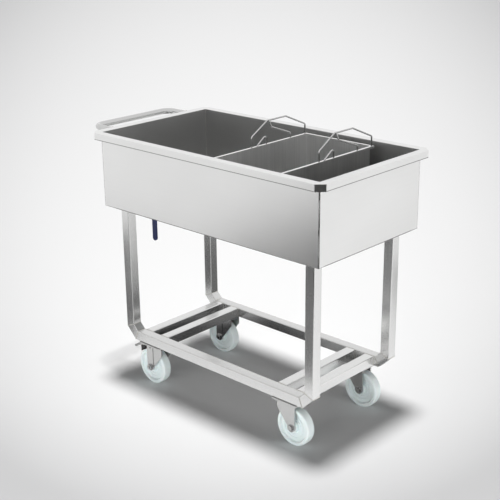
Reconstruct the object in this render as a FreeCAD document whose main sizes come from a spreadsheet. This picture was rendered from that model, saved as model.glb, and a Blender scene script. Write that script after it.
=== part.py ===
"""Cooking basket trolley: a drained tub on a tube frame with four swivel castors."""
import FreeCAD, Part
import math
import os
import re

import Sketcher
from FreeCAD import Rotation, Vector

os.makedirs("parts", exist_ok=True)
doc = FreeCAD.newDocument("basket_trolley")

# Driving dimensions in millimetres, angles in degrees.
# The tub is centred on the frame, and X runs along it, away from the push handle.
SIZES = {
    "rim_length": 1146, "rim_width": 626, "rim_height": 1040, "rim_chamfer": 27,
    "flange": 30, "skirt": 27, "sheet": 2, "sheet_bend": 3, "wall_bend": 4, "tub_depth": 296,
    "handle_reach": 112, "handle_tube": 25, "handle_span": 400, "handle_bend": 42,
    "handle_wall": 2,
    "tube": 40, "tube_wall": 2, "tube_corner": 3, "knee": 48, "tub_overhang_x": 50,
    "tub_overhang_y": 39,
    "outer_cross_inset": 70, "cross_gap": 49,
    "wheel_dia": 150, "wheel_width": 36, "hub_width": 42, "trail": 20, "axle_dia": 12,
    "hub_dia": 44, "disc_inner_dia": 48, "disc_outer_dia": 116, "disc_width": 20, "tread_inner_dia": 125,
    "tread_side": 5, "tread_edge": 2, "tread_fall": 1.2, "tread_round": 7,
    "bush_wall": 4, "castor_inset_y": 43, "plate_x": 124, "plate_y": 96, "plate_thick": 4,
    "bolt_dia": 10, "bolt_spread_y": 68, "bolt_head": 6, "bolt_end": 4, "race_height": 8, "race_dia": 76,
    "race_shoulder": 3, "race_edge": 1.5,
    "fork_gap": 1, "fork_sheet": 4, "fork_front": 48, "boss_dia": 34, "crown_gap": 16,
    "fork_joggle": 2.5, "joggle_wall": 3, "joggle_top": 6,
    "cheek_front": 30, "king_dia": 12, "fit_gap": 0.3, "nut_flats": 19, "nut_height": 9, "head_height": 7,
    "thread_out": 3, "pin_out": 2,
    "pedal_reach": 100, "pedal_sheet": 3, "pedal_roll": 10, "pedal_width": 34, "pedal_drop": 22,
    "pivot_above_wheel": 9, "pivot_dia": 8, "knuckle_dia": 12, "shoe_lift": 6, "shoe_half": 12,
    "shoe_width": 26,
    "drain_inset": 82, "pipe_dia": 42, "pipe_wall": 3, "elbow_bend": 30, "elbow_drop": 11,
    "valve_length": 66, "valve_dia": 58, "valve_hex": 50, "valve_waist": 46, "hex_length": 13,
    "cone_length": 4, "pocket_length": 32, "ball_dia": 42, "ball_bore": 30,
    "neck_dia": 24, "neck_reach": 42, "neck_root": 25, "neck_pocket": 19, "stem_dia": 10, "stem_out": 6.3,
    "lever_length": 160, "lever_eye": 25, "lever_gap": 0.9, "lever_nut_flats": 16, "lever_nut_height": 5.4,
    "lever_width": 18, "lever_thick": 4, "sleeve_length": 112, "sleeve_wall": 2,
    "spout_length": 24,
    "basket_x": 324, "basket_y": 525, "basket_lip": 9, "basket_hem": 8,
    "basket_sheet": 1.5, "basket_below_rim": 10, "basket_right_gap": 176,
    "basket_front_gap": 3, "basket_ledge": 14, "basket_bend": 8, "slot_length": 44, "slot_width": 6,
    "slot_rows": 12, "slot_columns": 5, "slot_margin": 34,
    "wire_dia": 6, "wire_bend": 9, "bail_foot": 12, "bail_span": 300, "bail_post": 38,
    "bail_rise": 82, "bail_grip": 104, "bail_lean": 12, "brace_lean": 7,
    "brace_foot": 84, "brace_kink": 18, "brace_turn": 184, "brace_rise": 56, "brace_top": 194,
    "loop_foot": 220, "loop_span": 51, "loop_rise": 36,
}

sheet = doc.addObject("Spreadsheet::Sheet", "sizes")
for row, (alias, value) in enumerate(SIZES.items(), start=1):
    sheet.set(f"A{row}", alias)
    sheet.set(f"B{row}", str(value))
    sheet.setAlias(f"B{row}", alias)
doc.recompute()

# Places that several pieces share, as formulas of the driving dimensions.
# The frame's origin is on the floor below the middle of the whole length, handle included.
TUB_X = "((handle_reach + handle_tube / 2) / 2)"
BODY_X = "(rim_length - 2 * flange)"
BODY_Y = "(rim_width - 2 * flange)"
TUB_BOTTOM = "(rim_height - tub_depth)"
FLOOR_TOP = f"({TUB_BOTTOM} + sheet)"
FRAME_X = f"({BODY_X} / 2 - tub_overhang_x)"
FRAME_Y = f"({BODY_Y} / 2 - tub_overhang_y)"
RAIL_LOW = "(wheel_dia + crown_gap + fork_sheet + race_height + plate_thick)"
RAIL_TOP = f"({RAIL_LOW} + tube)"
MITRE = "(tube * tan(22.5))"
OUTER_CROSS = f"({FRAME_X} - outer_cross_inset)"
INNER_CROSS = f"({OUTER_CROSS} - tube - cross_gap)"
CASTOR_X = f"({OUTER_CROSS} - tube - cross_gap / 2)"
CASTOR_Y = f"({FRAME_Y} - castor_inset_y)"
PLATE_LOW = f"({RAIL_LOW} - plate_thick)"
CROWN_TOP = f"({PLATE_LOW} - race_height)"
AXLE_Z = "(wheel_dia / 2)"
FORK_IN = "(hub_width / 2 + fork_gap)"
FORK_OUT = f"({FORK_IN} + fork_sheet)"
CHEEK_IN = f"({FORK_IN} + fork_joggle)"
CHEEK_OUT = f"({FORK_OUT} + fork_joggle)"
PIVOT_Z = "(wheel_dia + pivot_above_wheel)"
DRAIN_X = f"(-{BODY_X} / 2 + drain_inset)"
VALVE_Z = f"({TUB_BOTTOM} - elbow_drop - elbow_bend)"
VALVE_X = f"({DRAIN_X} - elbow_bend - valve_length / 2)"
LEVER_Y = "(-neck_reach - lever_gap)"
BASKET_TOP = "(rim_height - basket_below_rim)"
BASKET_X = f"({BODY_X} / 2 - sheet - basket_right_gap - basket_x / 2)"
BASKET_Y = f"(-{BODY_Y} / 2 + sheet + basket_front_gap + basket_y / 2)"
SHOE_MID = "((wheel_dia / 2 + shoe_lift) * cos(45))"

# A hair of length, or of a direction's cosine, inside which two places count as one.
HAIR = 1e-4

# The sense of each origin plane's normal along the axis that it looks down.
NORMAL = {"XY_Plane": 1, "XZ_Plane": -1, "YZ_Plane": 1}


def bind(text):
    """Turn a formula of aliases into an expression that reads the spreadsheet."""
    return re.sub(r"[a-z_]+", lambda w: f"sizes.{w.group()}" if w.group() in SIZES else w.group(), text)


def number(text):
    """Work a formula of aliases out to a plain number of millimetres."""
    ratios = {"cos": math.cos, "sin": math.sin, "tan": math.tan}
    filled = re.sub(
        r"(cos|sin|tan)\(([\d.]+)\)", lambda w: f"{ratios[w[1]](math.radians(float(w[2]))):.12f}", text
    )
    filled = re.sub(r"[a-z_]+", lambda w: str(sheet.get(w.group())), filled)
    return float(FreeCAD.Units.parseQuantity(filled))


def point(x, y, z):
    return Vector(number(x), number(y), number(z))


def new_body(label, x=TUB_X, y="0", z="0", turn=0):
    """Start a body at a place in the trolley, turned about the vertical."""
    body = doc.addObject("PartDesign::Body", label)
    body.Label = label
    body.Placement.Rotation = Rotation(Vector(0, 0, 1), turn)
    body.setExpression("Placement.Base.x", bind(x))
    body.setExpression("Placement.Base.y", bind(y))
    body.setExpression("Placement.Base.z", bind(z))
    return body


def new_sketch(body, plane, offset="0"):
    sketch = body.newObject("Sketcher::SketchObject", f"{body.Name}_sketch")
    sketch.AttachmentSupport = [(o, "") for o in body.Origin.OriginFeatures if o.Role == plane]
    sketch.MapMode = "FlatFace"
    sketch.setExpression("AttachmentOffset.Base.z", bind(f"{NORMAL[plane]} * ({offset})"))
    return sketch


def hold(geometry, vertex, x, y):
    """The constraints that hold a sketch point at its distances from the sketch's origin."""
    pairs = (("DistanceX", x), ("DistanceY", y))
    return [(Sketcher.Constraint(kind, -1, 1, geometry, vertex, number(text)), text) for kind, text in pairs]


def constrain(sketch, held):
    """Add constraints to a sketch in one go, and bind each to its formula."""
    first = sketch.ConstraintCount
    sketch.addConstraint([constraint for constraint, text in held])
    for index, (constraint, text) in enumerate(held, start=first):
        if text:
            sketch.setExpression(f"Constraints[{index}]", bind(text))


def outline(*points):
    """A closed outline of straight lines through points given as formulas."""
    def draw(sketch):
        first = sketch.GeometryCount
        corners = [point(x, y, "0") for x, y in points]
        sketch.addGeometry([Part.LineSegment(a, b) for a, b in zip(corners, corners[1:] + corners[:1])])
        held = []
        for i, (x, y) in enumerate(points):
            following = first + (i + 1) % len(points)
            held.append((Sketcher.Constraint("Coincident", first + i, 2, following, 1), None))
            held += hold(first + i, 1, x, y)
        constrain(sketch, held)
    return draw


def rectangle(x_low, x_high, y_low, y_high):
    return outline((x_low, y_low), (x_high, y_low), (x_high, y_high), (x_low, y_high))


def clipped(length, width, cut):
    """A rectangle about the origin with its corners cut at 45 degrees."""
    x, y = f"({length}) / 2", f"({width}) / 2"
    corners = []
    for sx, sy, x_first in ((1, -1, True), (1, 1, False), (-1, 1, True), (-1, -1, False)):
        on_x_side = (f"{sx} * ({x})", f"{sy} * ({y} - ({cut}))")
        on_y_side = (f"{sx} * ({x} - ({cut}))", f"{sy} * ({y})")
        corners += [on_y_side, on_x_side] if x_first else [on_x_side, on_y_side]
    return outline(*corners)


def hexagon(x, y, flats):
    """A hexagon about a point, by its size across flats."""
    corners = []
    for angle in range(30, 390, 60):
        reach = f"({flats}) / 2 / cos(30)"
        rise = math.sin(math.radians(angle))
        run = math.cos(math.radians(angle))
        corners.append((f"{x} + {reach} * ({run:.6f})", f"{y} + {reach} * ({rise:.6f})"))
    return outline(*corners)


def circle(x, y, radius):
    def draw(sketch):
        geometry = sketch.addGeometry(Part.Circle(point(x, y, "0"), Vector(0, 0, 1), number(radius)))
        held = hold(geometry, 3, x, y)
        held.append((Sketcher.Constraint("Radius", geometry, number(radius)), radius))
        constrain(sketch, held)
    return draw


def slab(body, plane, low, high, *draws, cut=False):
    """Add or cut the drawn outlines between two heights along the plane's axis."""
    start = low if (NORMAL[plane] > 0) != cut else high
    sketch = new_sketch(body, plane, start)
    for draw in draws:
        draw(sketch)
    kind = "PartDesign::Pocket" if cut else "PartDesign::Pad"
    feature = body.newObject(kind, f"{body.Name}_{'cut' if cut else 'pad'}")
    feature.Profile = sketch
    feature.Type = "Length"
    feature.setExpression("Length", bind(f"({high}) - ({low})"))
    sketch.Visibility = False
    return feature


def turned(body, plane, *draws, axis="H_Axis"):
    """Revolve the drawn outlines once round a sketch axis."""
    sketch = new_sketch(body, plane)
    for draw in draws:
        draw(sketch)
    feature = body.newObject("PartDesign::Revolution", f"{body.Name}_turn")
    feature.Profile = sketch
    feature.ReferenceAxis = (sketch, [axis])
    feature.Angle = 360
    return feature


def round_edges(body, radius, wanted):
    """Fillet the edges of the body so far that the wanted test picks."""
    doc.recompute()
    base = body.Tip
    names = [f"Edge{i}" for i, edge in enumerate(base.Shape.Edges, start=1) if wanted(edge)]
    fillet = body.newObject("PartDesign::Fillet", f"{body.Name}_round")
    fillet.Base = (base, names)
    fillet.setExpression("Radius", bind(radius))
    return fillet


def along(direction):
    """A test for straight edges that run along a direction."""
    def test(edge):
        if not isinstance(edge.Curve, Part.Line):
            return False
        return abs(abs(edge.Curve.Direction * direction) - 1) < HAIR
    return test


def uprights(x, y):
    """A test for vertical edges at the corners of a rectangle about the origin, by its half sizes."""
    reach_x, reach_y = number(x), number(y)
    vertical = along(Vector(0, 0, 1))

    def test(edge):
        centre = edge.BoundBox.Center
        return vertical(edge) and max(abs(abs(centre.x) - reach_x), abs(abs(centre.y) - reach_y)) < HAIR
    return test


def bent_path(points, bend):
    """Join points by straight runs and tangent arcs of one bend radius."""
    edges = []
    start = points[0]
    for before, corner, after in zip(points, points[1:], points[2:]):
        back = (before - corner).normalize()
        ahead = (after - corner).normalize()
        half = back.getAngle(ahead) / 2
        run = bend / math.tan(half)
        enter = corner + back * run
        leave = corner + ahead * run
        middle = (back + ahead).normalize()
        centre = corner + middle * (bend / math.sin(half))
        if (enter - start).Length > HAIR:
            edges.append(Part.LineSegment(start, enter).toShape())
        edges.append(Part.Arc(enter, centre - middle * bend, leave).toShape())
        start = leave
    if (points[-1] - start).Length > HAIR:
        edges.append(Part.LineSegment(start, points[-1]).toShape())
    return Part.Wire(edges)


def bent_rod(points, bend, radius):
    """A round rod along a bent path."""
    path = bent_path(points, bend)
    tangent = points[1] - points[0]
    profile = Part.Wire(Part.Circle(points[0], tangent, radius).toShape())
    return path.makePipeShell([profile], True, False)


def keep(label, shape):
    """Hold a shape made without a sketch as a sub-part of the document."""
    feature = doc.addObject("Part::Feature", label)
    feature.Label = label
    feature.Shape = shape
    feature.Placement = FreeCAD.Placement(point(TUB_X, "0", "0"), Rotation())
    return feature


ENDS = {"left": -1, "right": 1}
SIDES = {"front": -1, "rear": 1}
CORNERS = [(side, end) for side in SIDES for end in ENDS]


def make_tub():
    """The welded tub: flat flange, turned-down skirt with clipped corners, and the drain hole."""
    body = new_body("tub_shell")
    hem_low = "rim_height - skirt"
    rim_inner = ("rim_length - 2 * sheet", "rim_width - 2 * sheet", "rim_chamfer - sheet * (2 - 1 / cos(45))")
    wall = rectangle(f"-{BODY_X} / 2", f"{BODY_X} / 2", f"-{BODY_Y} / 2", f"{BODY_Y} / 2")
    cavity = rectangle(
        f"sheet - {BODY_X} / 2", f"{BODY_X} / 2 - sheet",
        f"sheet - {BODY_Y} / 2", f"{BODY_Y} / 2 - sheet"
    )
    slab(body, "XY_Plane", TUB_BOTTOM, "rim_height", wall)
    slab(body, "XY_Plane", hem_low, "rim_height", clipped("rim_length", "rim_width", "rim_chamfer"))
    slab(body, "XY_Plane", hem_low, "rim_height - sheet", clipped(*rim_inner), wall, cut=True)
    slab(body, "XY_Plane", FLOOR_TOP, "rim_height", cavity, cut=True)
    bore = circle(DRAIN_X, "0", "pipe_dia / 2 - pipe_wall")
    slab(body, "XY_Plane", TUB_BOTTOM, FLOOR_TOP, bore, cut=True)
    top = number("rim_height")

    def on_top(edge):
        return edge.BoundBox.ZMin > top - HAIR
    round_edges(body, "wall_bend", uprights(f"{BODY_X} / 2", f"{BODY_Y} / 2"))
    round_edges(body, "wall_bend - sheet", uprights(f"{BODY_X} / 2 - sheet", f"{BODY_Y} / 2 - sheet"))
    round_edges(body, "sheet_bend", on_top)


def make_push_handle():
    """The bent round tube that stands out from the rim at the left end."""
    root, tip = "-rim_length / 2", "-rim_length / 2 - handle_reach"
    z = "rim_height - skirt / 2"
    near, far = "-handle_span / 2", "handle_span / 2"
    points = [point(x, y, z) for x, y in ((root, near), (tip, near), (tip, far), (root, far))]
    bend = number("handle_bend")
    outer = bent_rod(points, bend, number("handle_tube / 2"))
    inner = bent_rod(points, bend, number("handle_tube / 2 - handle_wall"))
    keep("push_handle", outer.cut(inner))


def make_side_frame(side):
    """One long side of the frame: two legs, two mitred knees and the rail between them."""
    sense = SIDES[side]
    y_low = f"{sense} * ({FRAME_Y} - tube / 2) - tube / 2"
    y_high = f"{sense} * ({FRAME_Y} - tube / 2) + tube / 2"
    inside = (f"{y_low} + tube_wall", f"{y_high} - tube_wall")
    for end, way in ENDS.items():
        leg = new_body(f"leg_{side}_{end}")
        knee_top = f"{RAIL_LOW} + knee"
        outer_x, inner_x = f"{way} * {FRAME_X}", f"{way} * ({FRAME_X} - tube)"
        slab(leg, "XZ_Plane", y_low, y_high, outline(
            (outer_x, knee_top), (outer_x, TUB_BOTTOM),
            (inner_x, TUB_BOTTOM), (inner_x, f"{knee_top} + {MITRE}")
        ))
        round_edges(leg, "tube_corner", along(Vector(0, 0, 1)))
        hollow = rectangle(
            f"{way} * ({FRAME_X} - tube_wall)", f"{way} * ({FRAME_X} - tube + tube_wall)",
            RAIL_LOW, TUB_BOTTOM
        )
        slab(leg, "XZ_Plane", *inside, hollow, cut=True)
        make_knee(side, end, y_low, y_high, inside)
    rail = new_body(f"long_rail_{side}")
    low_end, high_end = f"({FRAME_X} - knee)", f"({FRAME_X} - knee - {MITRE})"
    slab(rail, "XZ_Plane", y_low, y_high, outline(
        (f"-{low_end}", RAIL_LOW), (low_end, RAIL_LOW), (high_end, RAIL_TOP), (f"-{high_end}", RAIL_TOP)
    ))
    round_edges(rail, "tube_corner", along(Vector(1, 0, 0)))
    hollow = rectangle(f"-{FRAME_X}", FRAME_X, f"{RAIL_LOW} + tube_wall", f"{RAIL_TOP} - tube_wall")
    slab(rail, "XZ_Plane", *inside, hollow, cut=True)
    holes = [
        circle(f"{way} * {CASTOR_X} + {turn} * (tube + cross_gap) / 2",
               f"{sense} * ({CASTOR_Y} + bolt_spread_y / 2)", "bolt_dia / 2 + fit_gap")
        for way in (-1, 1) for turn in (-1, 1)
    ]
    slab(rail, "XY_Plane", RAIL_LOW, f"{RAIL_LOW} + tube_wall", *holes, cut=True)


def make_knee(side, end, y_low, y_high, inside):
    """The short diagonal tube that turns a leg into the rail, mitred at both ends."""
    knee = new_body(f"knee_{side}_{end}")
    way = ENDS[end]

    def at(x, z):
        return f"{way} * ({FRAME_X} + {x})", f"{RAIL_LOW} + {z}"
    slab(knee, "XZ_Plane", y_low, y_high, outline(
        at("0", "knee"), at("(-knee)", "0"),
        at(f"(-knee - {MITRE})", "tube"), at("(-tube)", f"knee + {MITRE}")
    ))
    round_edges(knee, "tube_corner", along(Vector(way, 0, 1).normalize()))
    near, far = "tube_wall * cos(45)", "(tube - tube_wall) * cos(45)"
    slab(knee, "XZ_Plane", *inside, outline(
        at(f"(tube - {near})", f"knee + tube + {near}"), at(f"(-knee - tube - {near})", f"{near} - tube"),
        at(f"(-knee - tube - {far})", f"{far} - tube"), at(f"(tube - {far})", f"knee + tube + {far}")
    ), cut=True)


def make_cross_rails():
    """Two square tubes side by side at each end, between the long rails."""
    reach = f"({FRAME_Y} - tube)"
    for end, way in ENDS.items():
        for name, outer in (("outer", OUTER_CROSS), ("inner", INNER_CROSS)):
            body = new_body(f"{name}_cross_rail_{end}")
            middle = f"{way} * ({outer} - tube / 2)"
            x_low, x_high = f"{middle} - tube / 2", f"{middle} + tube / 2"
            slab(body, "XZ_Plane", f"-{reach}", reach, rectangle(x_low, x_high, RAIL_LOW, RAIL_TOP))
            round_edges(body, "tube_corner", along(Vector(0, 1, 0)))
            hollow = rectangle(
                f"{x_low} + tube_wall", f"{x_high} - tube_wall",
                f"{RAIL_LOW} + tube_wall", f"{RAIL_TOP} - tube_wall"
            )
            slab(body, "XZ_Plane", f"-{reach}", reach, hollow, cut=True)
            holes = [
                circle(middle, f"{sense} * ({CASTOR_Y} - bolt_spread_y / 2)", "bolt_dia / 2 + fit_gap")
                for sense in (-1, 1)
            ]
            slab(body, "XY_Plane", RAIL_LOW, f"{RAIL_LOW} + tube_wall", *holes, cut=True)


def castor_body(name, side, end, z="0", run="0"):
    """A body on one castor's swivel axis, turned so that its wheel trails outward."""
    way, sense = ENDS[end], SIDES[side]
    x = f"{TUB_X} + {way} * ({CASTOR_X} + {run})"
    return new_body(f"{name}_{side}_{end}", x, f"{sense} * {CASTOR_Y}", z, 0 if way > 0 else 180)


def bolt_places():
    """The four bolt centres of one castor plate, about its swivel axis."""
    return [(f"{a} * (tube + cross_gap) / 2", f"{b} * bolt_spread_y / 2") for a in (-1, 1) for b in (-1, 1)]


def make_castor_plate(side, end):
    plate = castor_body("castor_plate", side, end)
    slab(plate, "XY_Plane", PLATE_LOW, RAIL_LOW, clipped("plate_x", "plate_y", "tube_corner * 2"))
    holes = [circle(x, y, "bolt_dia / 2 + fit_gap") for x, y in bolt_places()]
    slab(plate, "XY_Plane", PLATE_LOW, RAIL_LOW, circle("0", "0", "king_dia / 2"), *holes, cut=True)


def make_fork(side, end, braked):
    """The pressed fork: a crown below the ball race and two tapered cheeks to the axle."""
    fork = castor_body("fork", side, end)
    back = "(trail + boss_dia / 2)"
    crown_low = f"{CROWN_TOP} - fork_sheet"
    block = rectangle("-fork_front", back, f"-{FORK_OUT}", FORK_OUT)
    slab(fork, "XY_Plane", crown_low, CROWN_TOP, block)
    cheek = outline(
        ("-fork_front", CROWN_TOP), (back, CROWN_TOP), (back, AXLE_Z), ("trail - boss_dia / 2", AXLE_Z),
        ("-fork_front", f"{CROWN_TOP} - cheek_front")
    )
    for low, high in ((FORK_IN, FORK_OUT), (f"-{FORK_OUT}", f"-{FORK_IN}")):
        slab(fork, "XZ_Plane", low, high, cheek)
        slab(fork, "XZ_Plane", low, high, circle("trail", AXLE_Z, "boss_dia / 2"))
    make_joggle(fork)
    bores = [circle("trail", AXLE_Z, "axle_dia / 2")]
    if braked:
        bores.append(circle("trail", PIVOT_Z, "pivot_dia / 2"))
    for bore in bores:
        slab(fork, "XZ_Plane", f"-{CHEEK_OUT}", CHEEK_OUT, bore, cut=True)
    slab(fork, "XY_Plane", crown_low, CROWN_TOP, circle("0", "0", "king_dia / 2 + fit_gap"), cut=True)
    top, wide = number(CROWN_TOP), number(FORK_OUT)

    def shoulder(edge):
        box = edge.BoundBox
        return box.ZMin > top - HAIR and box.YLength < HAIR and abs(abs(box.YMin) - wide) < HAIR
    round_edges(fork, "fork_sheet", shoulder)


def make_joggle(fork):
    """The strip of each cheek that is pressed outward, from below the crown to round the axle."""
    strip_top = f"({CROWN_TOP} - joggle_top)"
    for inset, cut in (("0", False), ("joggle_wall", True)):
        reach = f"(boss_dia / 2 - {inset})"
        strip = rectangle(f"trail - {reach}", f"trail + {reach}", AXLE_Z, f"{strip_top} - {inset}")
        boss = circle("trail", AXLE_Z, reach)
        low, high = (FORK_IN, CHEEK_IN) if cut else (FORK_OUT, CHEEK_OUT)
        for near, far in ((low, high), (f"-{high}", f"-{low}")):
            slab(fork, "XZ_Plane", near, far, strip, cut=cut)
            slab(fork, "XZ_Plane", near, far, boss, cut=cut)


def make_race(side, end):
    """The ball race housing that turns with the fork below the plate."""
    race = castor_body("swivel_race", side, end)
    inner, outer = "king_dia / 2 + fit_gap", "race_dia / 2"
    top = f"{PLATE_LOW} - fit_gap"
    turned(race, "XZ_Plane", outline(
        (inner, CROWN_TOP), (f"{outer} - race_shoulder", CROWN_TOP), (outer, f"{CROWN_TOP} + race_shoulder"),
        (outer, f"{top} - race_edge"), (f"{outer} - race_edge", top), (inner, top)
    ), axis="V_Axis")


def make_wheel(side, end):
    """A solid nylon wheel with recessed discs, a hub and a chamfered tread."""
    wheel = castor_body("wheel", side, end, AXLE_Z, "trail")
    bore = "axle_dia / 2 + bush_wall + fit_gap"
    tread = "wheel_dia / 2"
    half, hub = "wheel_width / 2", "hub_width / 2"
    right = [
        (hub, bore), (hub, "hub_dia / 2"), ("disc_width / 2", "disc_inner_dia / 2"),
        ("disc_width / 2", "disc_outer_dia / 2"), (half, "tread_inner_dia / 2"),
        (half, f"{tread} - tread_side"), (f"{half} - tread_edge", f"{tread} - tread_fall"),
        (f"{half} - tread_round", tread)
    ]
    left = [(f"-({y})", r) for y, r in reversed(right)]
    turned(wheel, "YZ_Plane", outline(*right, *left))
    return wheel


def make_bush(side, end):
    bush = castor_body("axle_bush", side, end, AXLE_Z, "trail")
    turned(bush, "YZ_Plane", rectangle(f"-{CHEEK_IN}", CHEEK_IN, "axle_dia / 2", "axle_dia / 2 + bush_wall"))


def make_axle(side, end):
    """The axle bolt with its hexagon head and nut outside the fork."""
    axle = castor_body("axle_bolt", side, end, AXLE_Z, "trail")
    tip = f"{CHEEK_OUT} + nut_height + thread_out"
    slab(axle, "XZ_Plane", f"-{CHEEK_OUT}", tip, circle("0", "0", "axle_dia / 2"))
    slab(axle, "XZ_Plane", f"-{CHEEK_OUT} - head_height", f"-{CHEEK_OUT}", hexagon("0", "0", "nut_flats"))
    slab(axle, "XZ_Plane", CHEEK_OUT, f"{CHEEK_OUT} + nut_height", hexagon("0", "0", "nut_flats"))


def make_brake(side, end):
    """The foot pedal that turns on a pin above the wheel, with the shoe that grips the tread."""
    pedal = castor_body("brake_pedal", side, end, "0", "trail")
    knee_x = f"({SHOE_MID} - shoe_half)"
    low_z = f"{PIVOT_Z} - pedal_sheet / 2"
    high_z = f"{PIVOT_Z} + pedal_sheet / 2"
    half = "pedal_width / 2"
    slab(pedal, "XZ_Plane", f"-{half}", half, outline(
        ("0", low_z), (knee_x, low_z), ("pedal_reach", f"{low_z} - pedal_drop"),
        ("pedal_reach", f"{high_z} - pedal_drop"), (knee_x, high_z), ("0", high_z)
    ))
    slab(pedal, "XZ_Plane", f"-{half}", half, circle("0", PIVOT_Z, "knuckle_dia / 2"))
    rolled_edge = circle("pedal_reach", f"{PIVOT_Z} - pedal_drop", "pedal_roll / 2")
    slab(pedal, "XZ_Plane", f"-{half}", half, rolled_edge)
    slab(pedal, "XZ_Plane", f"-{half}", half, circle("0", PIVOT_Z, "pivot_dia / 2 + fit_gap"), cut=True)
    shoe = castor_body("brake_shoe", side, end, "0", "trail")
    near, far = f"{SHOE_MID} - shoe_half", f"{SHOE_MID} + shoe_half"
    slope = f"pedal_drop * 2 * shoe_half / (pedal_reach - {knee_x})"
    slab(shoe, "XZ_Plane", "-shoe_width / 2", "shoe_width / 2", outline(
        (near, f"{AXLE_Z} + {far}"), (far, f"{AXLE_Z} + {near}"), (far, f"{low_z} - {slope}"), (near, low_z)
    ))
    pin = castor_body("brake_pin", side, end, PIVOT_Z, "trail")
    reach = f"({CHEEK_OUT} + pin_out)"
    slab(pin, "XZ_Plane", f"-{reach}", reach, circle("0", "0", "pivot_dia / 2"))


def make_castor_fasteners():
    """The hexagon bolts of all four plates, and the four kingpins with their nuts."""
    bolt_low = number(f"{PLATE_LOW} - bolt_head")
    hex_reach = number("nut_flats / 2 / cos(30)")
    corner = Vector(hex_reach, 0, 0)
    hexagon_corners = [Rotation(Vector(0, 0, 1), angle).multVec(corner) for angle in range(0, 361, 60)]
    hexagon_face = Part.Face(Part.makePolygon(hexagon_corners))
    shank_up = number(f"{RAIL_LOW} + tube_wall + bolt_end - {PLATE_LOW}")
    bolt = hexagon_face.extrude(Vector(0, 0, number("bolt_head")))
    shank = Part.makeCylinder(number("bolt_dia / 2"), number("bolt_head") + shank_up)
    bolt = bolt.fuse(shank).removeSplitter()
    nut_low = number(f"{CROWN_TOP} - fork_sheet - fit_gap - nut_height")
    pin = Part.makeCylinder(number("king_dia / 2"), number(RAIL_LOW) - nut_low)
    pin = pin.fuse(hexagon_face.extrude(Vector(0, 0, number("nut_height")))).removeSplitter()
    bolts, pins = [], []
    for side, end in CORNERS:
        axis = Vector(ENDS[end] * number(CASTOR_X), SIDES[side] * number(CASTOR_Y), 0)
        pins.append(pin.translated(axis + Vector(0, 0, nut_low)))
        for x, y in bolt_places():
            bolts.append(bolt.translated(axis + Vector(number(x), number(y), bolt_low)))
    keep("castor_bolts", Part.makeCompound(bolts))
    keep("kingpins", Part.makeCompound(pins))


def make_drain():
    """The outlet below the tub: an elbow, a ball valve with a hanging lever, and a spout."""
    corners = ((DRAIN_X, TUB_BOTTOM), (DRAIN_X, VALVE_Z), (f"{DRAIN_X} - elbow_bend", VALVE_Z))
    points = [point(x, "0", z) for x, z in corners]
    outer = bent_rod(points, number("elbow_bend"), number("pipe_dia / 2"))
    inner = bent_rod(points, number("elbow_bend"), number("pipe_dia / 2 - pipe_wall"))
    keep("drain_elbow", outer.cut(inner))
    make_valve()
    make_lever()
    spout = new_body("outlet_spout", f"{TUB_X} + {VALVE_X} - valve_length / 2", "0", VALVE_Z)
    bore, wall = "pipe_dia / 2 - pipe_wall", "pipe_dia / 2"
    turned(spout, "XZ_Plane", rectangle("-spout_length", "0", bore, wall))


def make_valve():
    """The valve body with its hexagon ends and stem neck, and the bored ball inside."""
    body = new_body("valve_body", f"{TUB_X} + {VALVE_X}", "0", VALVE_Z)
    half, bore = "valve_length / 2", "pipe_dia / 2 - pipe_wall"
    barrel, waist, pocket = "valve_dia / 2", "valve_waist / 2", "ball_dia / 2 + fit_gap"
    cone = f"({half} - hex_length)"
    right = [(half, bore), (half, waist), (cone, waist), (f"{cone} - cone_length", barrel)]
    cavity = [("pocket_length / 2", pocket), ("pocket_length / 2", bore)]
    left = [(f"-({x})", r) for x, r in reversed(right)]
    hollow = [(f"-({x})", r) for x, r in reversed(cavity)]
    turned(body, "XZ_Plane", outline(*right, *left, *hollow, *cavity))
    for low, high in ((f"-{half}", f"-{cone}"), (cone, half)):
        slab(body, "YZ_Plane", low, high, hexagon("0", "0", "valve_hex"), circle("0", "0", waist))
    slab(body, "XZ_Plane", "-neck_reach", "-neck_root", circle("0", "0", "neck_dia / 2"))
    stem_hole = circle("0", "0", "stem_dia / 2 + fit_gap")
    slab(body, "XZ_Plane", "-neck_reach", "-neck_pocket", stem_hole, cut=True)
    sphere = doc.addObject("Part::Sphere", "ball_sphere")
    sphere.setExpression("Radius", bind("ball_dia / 2"))
    bore_cylinder = doc.addObject("Part::Cylinder", "ball_bore")
    bore_cylinder.setExpression("Radius", bind("ball_bore / 2"))
    bore_cylinder.setExpression("Height", bind("valve_length"))
    bore_cylinder.setExpression("Placement.Base.z", bind("-valve_length / 2"))
    ball = doc.addObject("Part::Cut", "valve_ball")
    ball.Label = "valve_ball"
    ball.Base, ball.Tool = sphere, bore_cylinder
    ball.setExpression("Placement.Base.x", bind(f"{TUB_X} + {VALVE_X}"))
    ball.setExpression("Placement.Base.z", bind(VALVE_Z))


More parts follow.
